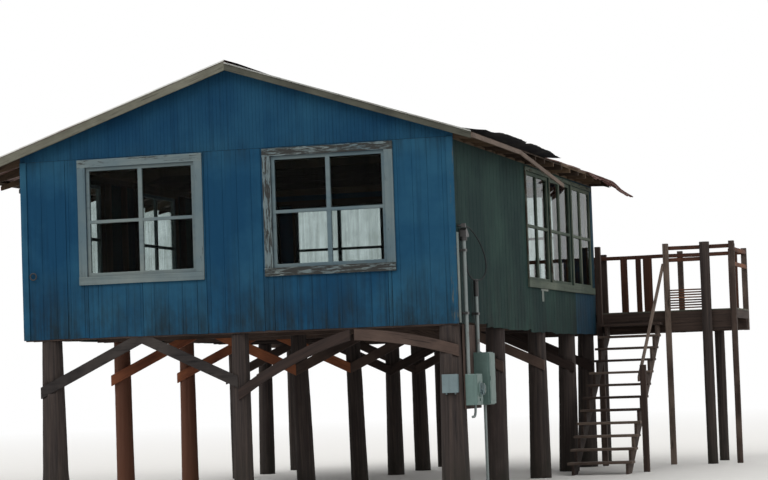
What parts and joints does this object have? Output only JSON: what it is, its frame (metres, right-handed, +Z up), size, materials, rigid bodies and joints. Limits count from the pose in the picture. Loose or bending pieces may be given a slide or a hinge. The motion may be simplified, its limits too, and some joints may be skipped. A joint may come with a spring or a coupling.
{
  "type": "timber stilt house",
  "caption": "Single-storey timber house raised on log posts, with a low gable roof, sash windows, knee braces, a rear deck, an outside stair and an electrical service.",
  "frame": {"origin": "centre of the front right corner post's foot, on the ground", "axes": "+X to the right along the front wall, +Y towards the back along the right wall, +Z up"},
  "size_m": [9.4255, 10.809, 5.8904],
  "materials": {
    "log": "weathered, bare",
    "old_timber": "dark, weathered",
    "framing": "sawn",
    "front_siding": "faded paint on grooved plywood",
    "side_siding": "faded paint on grooved plywood",
    "trim": "flaking pale paint",
    "window_glass": "dusty",
    "felt": "mineral-faced bitumen",
    "roof_metal": "rusty corrugated steel",
    "bare_boards": "weathered, bare",
    "grey_enamel": "weathered enamel",
    "galvanised": "dull galvanised",
    "cable": "dusty black jacket"
  },
  "bodies": {
    "root": {"house_posts": "log", "girders": "old_timber", "knee_braces": "old_timber", "floor_joists": "old_timber", "floor": "old_timber", "wall_plates": "framing", "wall_studs": "framing", "window_headers": "framing", "siding_front": "front_siding", "siding_right": "side_siding", "siding_left": "side_siding", "siding_back": "front_siding", "gable_siding": "front_siding", "corner_boards": "trim", "window_casings": "trim", "window_sashes": "trim", "window_glass": "window_glass", "entrance_door": "trim", "rafters": "framing", "ridge_board": "framing", "ceiling_ties": "framing", "purlins": "framing", "roof_boards": "framing", "roofing_felt": "felt", "felt_flap": "felt", "roof_sheets_left": "roof_metal", "roof_sheets_right": "roof_metal", "bent_sheet": "roof_metal", "ridge_cap": "roof_metal", "rake_boards": "bare_boards", "eave_boards": "bare_boards", "deck_frame": "bare_boards", "deck_girders": "old_timber", "deck_boards": "bare_boards", "deck_posts": "log", "deck_rails": "bare_boards", "rail_boards": "bare_boards", "stair_stringers": "bare_boards", "stair_treads": "bare_boards", "stair_handrail": "bare_boards", "service_board": "old_timber", "meter_box": "grey_enamel", "panel_box": "grey_enamel", "junction_box": "grey_enamel", "conduits": "galvanised", "pipe_fittings": "galvanised", "weatherhead": "galvanised", "service_loop": "cable"}
  },
  "joints": []
}
